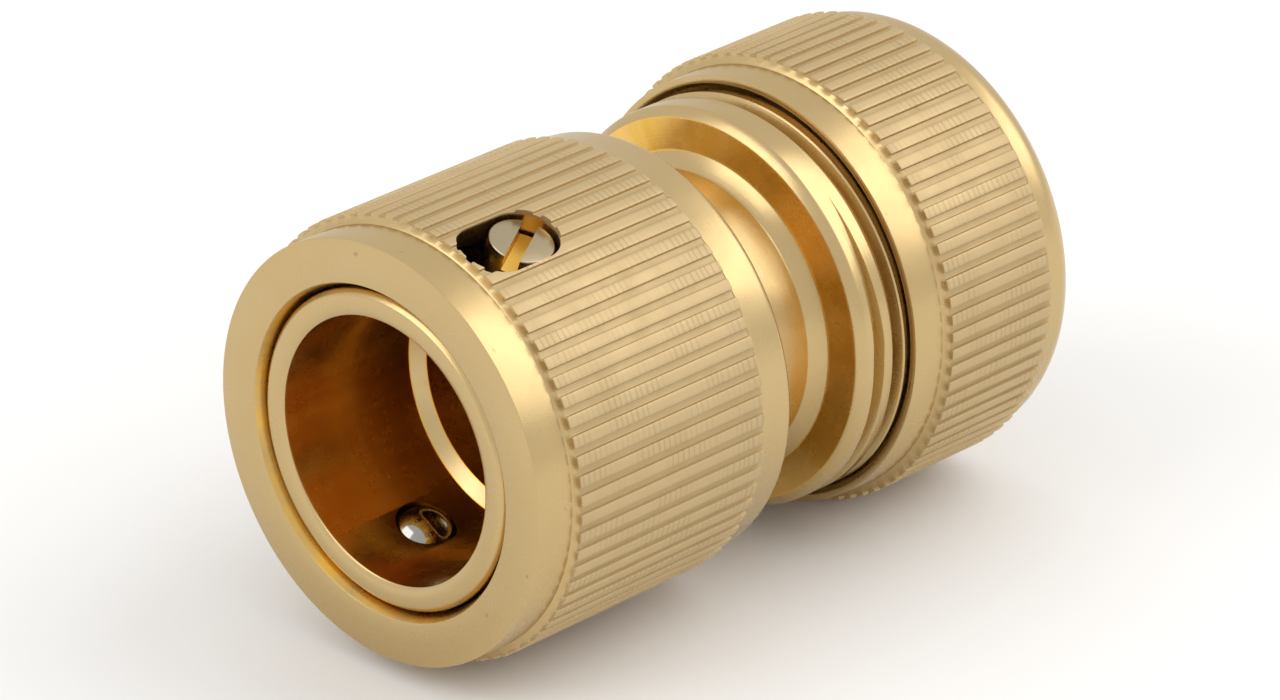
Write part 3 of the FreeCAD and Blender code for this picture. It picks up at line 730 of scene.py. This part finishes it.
class CONNECTOR_OT_socket_body(bpy.types.Operator):
    """Turns the socket body, cuts its thread and drills it for the balls"""
    bl_idname = "connector.socket_body"
    bl_label = "Socket body"

    SEGMENTS = 288
    STEPS_PER_TURN = 144

    def outline(self):
        body = settings().body
        low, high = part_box("socket_body")
        chamfer = 0.8 * MM
        return [
            (body.mouth, low[1]),
            (body.tube - body.mouth_corner, low[1]),
            (body.tube, low[1] + body.mouth_corner),
            (body.tube, body.collar_front),
            (body.collar, body.collar_front),
            (body.collar, body.collar_rear),
            (body.neck, body.collar_rear),
            (body.neck, body.neck_end),
            (body.neck_root, body.flange_front),
            (body.flange, body.flange_front),
            (body.crest, body.bevel_end),
            (body.crest, high[1] - chamfer),
            (body.crest - chamfer, high[1]),
            (body.pocket, high[1]),
            (body.pocket, body.pocket_floor),
            (body.tail_seat, body.pocket_floor),
            (body.tail_seat, body.nose_depth),
            (body.nose, body.nose_depth),
            (body.nose, body.nose_start),
            (body.socket, body.socket_depth),
            (body.socket, body.mouth_bevel_end),
        ]

    def cut_thread(self, piece):
        body = settings().body
        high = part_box("socket_body")[1]
        flare = 0.09 * MM
        above = 0.25 * MM
        narrow, wide = 0.25 * MM, 0.50 * MM
        middle = body.thread_start
        outline = groove([(body.root, narrow), (body.crest - flare, wide),
                          (body.crest + flare, wide + 2 * flare), (body.crest + above, wide + 2 * flare)], middle)
        turns = (high[1] + body.pitch - middle) / body.pitch
        cutter = sweep_helix("thread_groove", outline, body.pitch, turns, self.STEPS_PER_TURN)
        fade_start(cutter, middle, body.pitch, 0.8 * MM / body.crest)
        cut_away(piece, cutter)

    def drill_ball_holes(self, piece):
        small = settings().small
        inside = settings().body.nose * 0.6
        outside = settings().body.tube + 2 * MM
        outline = [(small.ball_lip, inside), (small.ball_lip, small.ball_lip_top),
                   (small.ball_hole, small.ball_lip_top), (small.ball_hole, outside)]
        for name in ("lock_ball_1", "lock_ball_2", "lock_ball_3"):
            low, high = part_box(name)
            middle = (Vector(low) + Vector(high)) / 2
            drill = turn_outline("drill", outline, 64, closed=False)
            close_ends(drill)
            stand_on_tube(drill, math.atan2(middle.x, middle.z), middle.y)
            cut_away(piece, drill)

    def execute(self, context):
        body = settings().body
        finish = settings().finish
        piece = turn_outline("socket_body_turned", self.outline(), self.SEGMENTS)
        bevel_edges(piece, 0.12 * MM)
        self.cut_thread(piece)
        self.drill_ball_holes(piece)
        smooth(piece)
        brass = Brass("body_brass", 0.26, 0.16, 0.000006, pits=0.1)
        # Painted reflection and shade: saturated orange with darker streaks on the bore's walls, in place of
        # light bouncing inside it.
        brass.paint_recess_light(finish.bore_painted_reflection, finish.bore_painted_shade, {
            "Step": (body.socket_depth + body.nose_start) / 2,
            "Half Step": (body.nose_start - body.socket_depth) / 2 - 0.03 * MM})
        # Painted reflection: bright orange on the flange's front face, streaked with the bore's painted orange.
        brass.paint_recess_light(finish.flange_painted_reflection, finish.bore_painted_reflection, {
            "Radius": body.flange - 0.03 * MM, "Start": body.flange_front - 0.03 * MM,
            "Step": 1.0, "End": body.flange_front + 0.05 * MM})
        dress(piece, brass.finish(), "socket", "socket_body")
        return finished(self, piece)


class CONNECTOR_OT_release_sleeve(bpy.types.Operator):
    """Turns the release sleeve, raises its straight knurl and mills the guide slot"""
    bl_idname = "connector.release_sleeve"
    bl_label = "Release sleeve"

    def outline(self):
        sleeve = settings().sleeve
        low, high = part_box("release_sleeve")
        rounding = 0.6 * MM
        inner_chamfer = 0.2 * MM
        return [
            (sleeve.guide, low[1] + sleeve.mouth_bevel),
            (sleeve.mouth, low[1]),
            (sleeve.face, low[1]),
            (sleeve.band, sleeve.knurl_start - 0.15 * MM),
            (sleeve.root, sleeve.knurl_start),
            (sleeve.root, sleeve.knurl_end),
            (sleeve.shoulder, sleeve.knurl_end + 0.25 * MM),
            *arc(sleeve.shoulder - rounding, high[1] - rounding, rounding, 0.0, QUARTER_TURN, 6),
            (sleeve.bore + inner_chamfer, high[1]),
            (sleeve.bore, high[1] - inner_chamfer),
            (sleeve.bore, sleeve.seat),
            (sleeve.guide, sleeve.seat),
            (sleeve.guide, sleeve.land_end),
            (sleeve.land, sleeve.land_end),
            (sleeve.land, sleeve.land_start),
            (sleeve.relief, sleeve.relief_end),
            (sleeve.relief, sleeve.lip_end),
            (sleeve.guide, sleeve.lip_end),
        ]

    def slot_cutter(self):
        sleeve = settings().sleeve
        small = settings().small
        bpy.ops.object.select_all(action="DESELECT")
        reach = 8 * MM
        bpy.ops.mesh.primitive_cylinder_add(
            vertices=96, radius=sleeve.slot_half_width, depth=reach,
            location=(0, sleeve.slot_front, sleeve.guide + reach / 2 - 1.0 * MM))
        cutter = named_piece("slot_cutter")
        bake_place(cutter)
        pick(cutter, "VERT", lambda vertex: vertex.co.y > sleeve.slot_front - 0.001 * MM)
        bpy.ops.transform.translate(value=(0, sleeve.slot_rear - sleeve.slot_front, 0))
        leave_edit()
        cutter.matrix_world = Matrix.Rotation(small.screw_tilt, 4, "Y")
        bake_place(cutter)
        return cutter

    def execute(self, context):
        sleeve = settings().sleeve
        finish = settings().finish
        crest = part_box("release_sleeve")[1][0]
        piece = turn_knurled("release_sleeve_turned", self.outline(), sleeve, crest)
        bevel_edges(piece, 0.075 * MM)
        cut_away(piece, self.slot_cutter())
        smooth(piece)
        brass = Brass("sleeve_brass", 0.28, 0.14, 0.000003)
        brass.knurl(sleeve.ridges, crest, crest - sleeve.root, sleeve.knurl_start, sleeve.knurl_end)
        # Painted reflection and shade inside the sleeve's front, behind its mouth: the bore's painted orange
        # streaked with warm brass.
        brass.paint_recess_light(finish.bore_painted_reflection, finish.brass_warm, {
            "Radius": sleeve.mouth - 0.01 * MM, "Start": -0.86 * MM, "Step": 1.0, "End": 3.0 * MM})
        dress(piece, brass.finish(), "sleeve", "release_sleeve")
        return finished(self, piece)


class CONNECTOR_OT_hose_nut(bpy.types.Operator):
    """Turns the hose nut, raises its straight knurl and cuts its inner thread"""
    bl_idname = "connector.hose_nut"
    bl_label = "Hose nut"

    STEPS_PER_TURN = 100

    def outline(self):
        nut = settings().nut
        low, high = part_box("hose_nut")
        return [
            (nut.mouth, low[1]),
            (nut.face, low[1]),
            (nut.collar, nut.collar_end),
            (nut.root, nut.knurl_start),
            (nut.root, nut.knurl_end),
            (nut.shoulder, nut.knurl_end + 0.25 * MM),
            *arc(nut.shoulder - nut.round, high[1] - nut.round, nut.round, 0.0, QUARTER_TURN, 14),
            (nut.hole, high[1]),
            (nut.hole, nut.cone_end),
            (nut.bore, nut.cone_start),
            (nut.bore, nut.relief_end),
            (nut.relief, nut.relief_end),
            (nut.relief, nut.thread_end),
            (nut.thread_crest, nut.thread_end),
            (nut.thread_crest, low[1] + nut.mouth - nut.thread_crest),
        ]

    def cut_thread(self, piece):
        nut = settings().nut
        body = settings().body
        middle = body.thread_start + body.pitch / 2
        below = 0.3 * MM
        narrow, wide = 0.45 * MM, 0.70 * MM
        outline = groove([(nut.thread_root, narrow), (nut.thread_crest, wide),
                          (nut.thread_crest - below, wide)], middle)
        turns = (nut.thread_end + body.pitch / 2 - middle) / body.pitch
        cut_away(piece, sweep_helix("nut_groove", outline, body.pitch, turns, self.STEPS_PER_TURN))

    def execute(self, context):
        nut = settings().nut
        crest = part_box("hose_nut")[1][0]
        piece = turn_knurled("hose_nut_turned", self.outline(), nut, crest)
        bevel_edges(piece, 0.07 * MM)
        self.cut_thread(piece)
        smooth(piece)
        brass = Brass("nut_brass", 0.28, 0.15, 0.000003)
        brass.knurl(nut.ridges, crest, crest - nut.root, nut.knurl_start, nut.knurl_end)
        dress(piece, brass.finish(), "nut", "hose_nut")
        return finished(self, piece)


class CONNECTOR_OT_guide_screw(bpy.types.Operator):
    """Turns the guide screw and cuts its driver slot"""
    bl_idname = "connector.guide_screw"
    bl_label = "Guide screw"

    def execute(self, context):
        small = settings().small
        finish = settings().finish
        outline = [(small.screw_shank, small.screw_tip), (small.screw_shank, small.screw_seat),
                   (small.screw_head, small.screw_seat), (small.screw_head, small.screw_top)]
        piece = turn_outline("guide_screw_turned", outline, 96, closed=False)
        close_ends(piece)
        bevel_edges(piece, 0.14 * MM, 3)
        cutter = box_cutter("driver_cutter", (0, small.screw_top, 0),
                            (small.driver_width, 2 * small.driver_depth, small.screw_head * 3))
        bevel_edges(cutter, 0.06 * MM, 2)
        cut_away(piece, cutter)
        stand_on_tube(piece, small.screw_tilt, small.screw_station, small.driver_turn)
        smooth(piece)
        brass = Brass("screw_brass", 0.26, 0.2, 0.000003, 0.3, finish.screw_brass, finish.brass)
        # Painted reflection: the screw's sunk sides and driver slot below its top take the bore's painted orange.
        brass.paint_reflection_below(small.screw_tilt, small.screw_top - 0.25 * MM, finish.bore_painted_reflection)
        dress(piece, brass.finish(), "socket", "guide_screw")
        return finished(self, piece)


class CONNECTOR_OT_lock_balls(bpy.types.Operator):
    """Makes the three polished steel balls"""
    bl_idname = "connector.lock_balls"
    bl_label = "Locking balls"

    def execute(self, context):
        material = steel_material("ball_steel", settings().finish.steel, 0.10, relief=0.0000006)
        for index in range(1, 4):
            node = f"lock_ball_{index}"
            low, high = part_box(node)
            middle = (Vector(low) + Vector(high)) / 2
            radius = (high[0] - low[0]) / 2
            bpy.ops.object.select_all(action="DESELECT")
            bpy.ops.mesh.primitive_cube_add(size=2 * radius, location=middle)
            piece = named_piece(f"{node}_polished")
            bake_place(piece)
            edit(piece)
            bpy.ops.mesh.select_all(action="SELECT")
            bpy.ops.mesh.subdivide(number_cuts=15)
            bpy.ops.transform.tosphere(value=1.0)
            leave_edit()
            ratio = radius / (piece.data.vertices[0].co - middle).length
            edit(piece)
            bpy.ops.transform.resize(value=(ratio, ratio, ratio), center_override=middle)
            leave_edit()
            activate(piece)
            bpy.ops.object.shade_smooth()
            dress(piece, material, f"ball_{index}", node)
        return {"FINISHED"}


class CONNECTOR_OT_release_spring(bpy.types.Operator):
    """Winds the release spring"""
    bl_idname = "connector.release_spring"
    bl_label = "Release spring"

    def execute(self, context):
        small = settings().small
        low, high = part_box("release_spring")
        wire = small.spring_wire
        mean = high[0] - wire
        start = low[1] + wire
        pitch = (high[1] - low[1] - 2 * wire) / small.spring_turns
        outline = [(mean + wire * math.cos(a * math.pi / 8), start + wire * math.sin(a * math.pi / 8))
                   for a in range(16)]
        piece = sweep_helix("release_spring_wound", outline, pitch, small.spring_turns, 72)
        smooth(piece, math.radians(40))
        dress(piece, steel_material("spring_steel", settings().finish.steel, 0.25, relief=0.000004),
              "socket", "release_spring")
        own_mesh(piece)
        return finished(self, piece)


class CONNECTOR_OT_hose_tail(bpy.types.Operator):
    """Turns the barbed hose tail and its washer"""
    bl_idname = "connector.hose_tail"
    bl_label = "Hose tail and washer"

    def tail_outline(self):
        small = settings().small
        low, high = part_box("hose_tail")
        head = high[0]
        outline = [(small.tail_flare, low[1]), (head, low[1]), (head, settings().body.pocket_floor),
                   (small.tail_root, settings().body.pocket_floor)]
        barbs = int((high[1] - small.barb_start) / small.barb_pitch)
        for index in range(barbs):
            front = small.barb_start + index * small.barb_pitch
            outline += [(small.tail_root, front), (small.barb, front), (small.barb, front + small.barb_land),
                        (small.tail_root, front + small.barb_pitch - 0.2 * MM)]
        return outline + [(small.tail_root, high[1]), (small.tail_bore, high[1]),
                          (small.tail_bore, low[1] + small.tail_flare_depth)]

    def execute(self, context):
        small = settings().small
        finish = settings().finish
        piece = turn_outline("hose_tail_turned", self.tail_outline(), 192)
        bevel_edges(piece, 0.07 * MM)
        smooth(piece)
        brass = Brass("tail_brass", 0.28, 0.16, 0.000004)
        dress(piece, brass.finish(), "socket", "hose_tail")
        low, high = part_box("tail_washer")
        outline = [(small.washer_bore, low[1]), (high[0], low[1]),
                   (high[0], high[1]), (small.washer_bore, high[1])]
        washer = turn_outline("tail_washer_moulded", outline, 144)
        bevel_edges(washer, 0.15 * MM, 3)
        smooth(washer)
        dress(washer, rubber_material("washer_rubber", finish.rubber), "socket", "tail_washer")
        return finished(self, piece)


class CONNECTOR_OT_grip_ring(bpy.types.Operator):
    """Turns the split ring that grips the hose"""
    bl_idname = "connector.grip_ring"
    bl_label = "Grip ring"

    def outline(self):
        small = settings().small
        low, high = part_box("grip_ring")
        outer = high[0]
        outline = [(small.grip_bore, low[1]), (outer, low[1]), (outer, small.grip_cone_start),
                   (small.grip_tip, high[1]), (small.grip_bore, high[1])]
        teeth = int((high[1] - low[1]) / small.grip_tooth_pitch)
        for index in range(teeth):
            rear = high[1] - 0.2 * MM - index * small.grip_tooth_pitch
            outline += [(small.grip_bore, rear),
                        (small.grip_bore - small.grip_tooth, rear - small.grip_tooth_pitch * 0.5),
                        (small.grip_bore, rear - small.grip_tooth_pitch * 0.6)]
        return outline

    def execute(self, context):
        small = settings().small
        finish = settings().finish
        low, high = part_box("grip_ring")
        piece = turn_outline("grip_ring_turned", self.outline(), 240)
        bevel_edges(piece, 0.04 * MM)
        depth = high[0] * 1.2
        cutter = box_cutter("split_cutter", (0, (low[1] + high[1]) / 2, depth / 2),
                            (small.grip_gap, (high[1] - low[1]) * 1.4, depth))
        cut_away(piece, cutter)
        smooth(piece)
        brass = Brass("grip_brass", 0.32, 0.18, 0.000004, base=finish.brass_warm, toned=finish.brass)
        dress(piece, brass.finish(), "grip", "grip_ring")
        return finished(self, piece)


class CONNECTOR_OT_stage(bpy.types.Operator):
    """Lays the floor and sets the lights, the surroundings and the camera"""
    bl_idname = "connector.stage"
    bl_label = "Stage"

    def floor(self):
        low = CAD_BOUNDS[0]
        bpy.ops.object.select_all(action="DESELECT")
        bpy.ops.mesh.primitive_plane_add(size=6.0, location=(0, 0, low[2]))
        piece = named_piece("floor")
        material, graph, shader = new_material("floor_paper")
        grain = graph.noise(graph.place(), 60.0, 3.0)
        clouds = graph.remap(grain, 0.3, 0.7, 0.0, 0.1)
        tone = graph.mix(clouds, settings().finish.floor, (0.8, 0.8, 0.8, 1.0))
        graph.tree.links.new(tone, shader.inputs["Base Color"])
        shader.inputs["Roughness"].default_value = 0.8
        piece.data.materials.append(material)

    def lamp(self, name, place, size, power, tint, target):
        light = bpy.data.lights.new(name, "AREA")
        light.shape = "RECTANGLE"
        light.size, light.size_y = size
        light.energy = power
        light.color = tint
        self.stand(name, light, Vector(place), target - Vector(place))

    def stand(self, name, data, place, direction):
        thing = bpy.data.objects.new(name, data)
        bpy.context.scene.collection.objects.link(thing)
        thing.location = place
        thing.rotation_mode = "QUATERNION"
        thing.rotation_quaternion = direction.to_track_quat("-Z", "Y")
        return thing

    def surroundings(self):
        world = bpy.data.worlds.new("studio")
        bpy.context.scene.world = world
        world.use_nodes = True
        background = world.node_tree.nodes["Background"]
        background.inputs["Color"].default_value = (1.0, 0.99, 0.975, 1.0)
        background.inputs["Strength"].default_value = 0.9

    def camera(self, middle):
        stage = settings().stage
        turn, climb = stage.azimuth, stage.elevation
        back = Vector((math.sin(turn) * math.cos(climb), -math.cos(turn) * math.cos(climb), math.sin(climb)))
        right = Vector((math.cos(turn), math.sin(turn), 0.0))
        up = back.cross(right)
        aim = middle + right * stage.right + up * stage.up
        data = bpy.data.cameras.new("camera")
        data.lens = stage.focal
        data.sensor_width = 36.0
        data.clip_start = 0.01
        data.clip_end = 20.0
        bpy.context.scene.camera = self.stand("camera", data, aim + back * stage.distance, -back)

    def execute(self, context):
        low, high = CAD_BOUNDS
        middle = (Vector(low) + Vector(high)) / 2
        self.floor()
        self.surroundings()
        self.lamp("key_softbox", (0.34, 0.375, 0.48), (0.62, 0.62), 2.1, (1.0, 0.985, 0.97), middle)
        self.lamp("front_softbox", (-0.25, -0.65, 0.50), (0.60, 0.60), 2.0, (1.0, 0.99, 0.98), middle)
        self.camera(middle)
        context.scene.view_settings.view_transform = "Standard"
        return {"FINISHED"}


class CONNECTOR_PT_panel(bpy.types.Panel):
    """Buttons that build the hose connector"""
    bl_idname = "CONNECTOR_PT_panel"
    bl_label = "Hose connector"
    bl_space_type = "VIEW_3D"
    bl_region_type = "UI"
    bl_category = "Connector"

    def draw(self, context):
        for operator in OPERATORS:
            self.layout.operator(operator.bl_idname, text=operator.bl_label)


OPERATORS = (
    CONNECTOR_OT_socket_body,
    CONNECTOR_OT_release_sleeve,
    CONNECTOR_OT_hose_nut,
    CONNECTOR_OT_guide_screw,
    CONNECTOR_OT_lock_balls,
    CONNECTOR_OT_release_spring,
    CONNECTOR_OT_hose_tail,
    CONNECTOR_OT_grip_ring,
    CONNECTOR_OT_stage,
)

CLASSES = (
    CONNECTOR_PG_body,
    CONNECTOR_PG_sleeve,
    CONNECTOR_PG_nut,
    CONNECTOR_PG_small,
    CONNECTOR_PG_finish,
    CONNECTOR_PG_stage,
    CONNECTOR_PG_settings,
    *OPERATORS,
    CONNECTOR_PT_panel,
)


def register():
    for made in CLASSES:
        bpy.utils.register_class(made)
    bpy.types.Scene.hose_connector = bpy.props.PointerProperty(type=CONNECTOR_PG_settings)


def unregister():
    del bpy.types.Scene.hose_connector
    for made in reversed(CLASSES):
        bpy.utils.unregister_class(made)


def main():
    register()
    for operator in OPERATORS:
        getattr(bpy.ops.connector, operator.bl_idname.partition(".")[2])()


if __name__ == "__main__":
    main()
